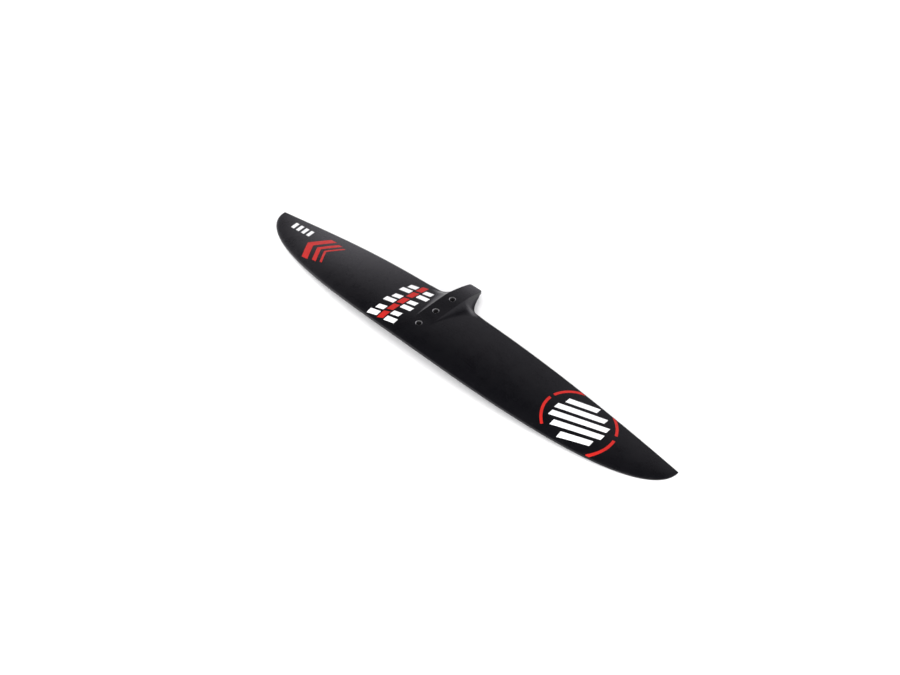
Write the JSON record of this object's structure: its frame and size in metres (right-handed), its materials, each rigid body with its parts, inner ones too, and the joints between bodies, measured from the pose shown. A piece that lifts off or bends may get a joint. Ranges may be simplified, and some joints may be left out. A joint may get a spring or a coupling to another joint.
{
  "type": "hydrofoil front wing",
  "caption": "Curved, low-profile hydrofoil front wing with drooped tips, a raised centre ridge that runs into a short tail, and a row of countersunk screw holes through the ridge.",
  "frame": {"origin": "under the middle of the wing at the level of its lowest points, with the screw side up and the tips resting", "axes": "+X along the span towards the right tip, +Y from the leading edge towards the tail, +Z out of the screw side"},
  "size_m": [0.7748, 0.153, 0.0461],
  "materials": {
    "matt_black": "soft matt black coat over carbon laminate",
    "carbon": "bare carbon laminate",
    "foam": "dry closed-cell foam",
    "filler": "dull filled epoxy",
    "bush_metal": "machined steel, slightly dull",
    "white_print": "white print on the coat",
    "red_print": "red print on the coat"
  },
  "bodies": {
    "root": {"screw_side_skin": "matt_black", "seat_side_skin": "matt_black", "mounting_block": "carbon", "tail_block": "filler", "spar_cap_screw_side": "carbon", "spar_cap_seat_side": "carbon", "spar_web_left": "carbon", "spar_web_right": "carbon", "leading_edge_tow": "carbon", "front_core_left": "foam", "front_core_right": "foam", "aft_core_left": "foam", "aft_core_right": "foam", "trailing_edge_wedge_left": "filler", "trailing_edge_wedge_right": "filler", "tip_filler_left": "filler", "tip_filler_right": "filler", "front_screw_bush": "bush_metal", "middle_screw_bush": "bush_metal", "rear_screw_bush": "bush_metal"}
  },
  "joints": []
}
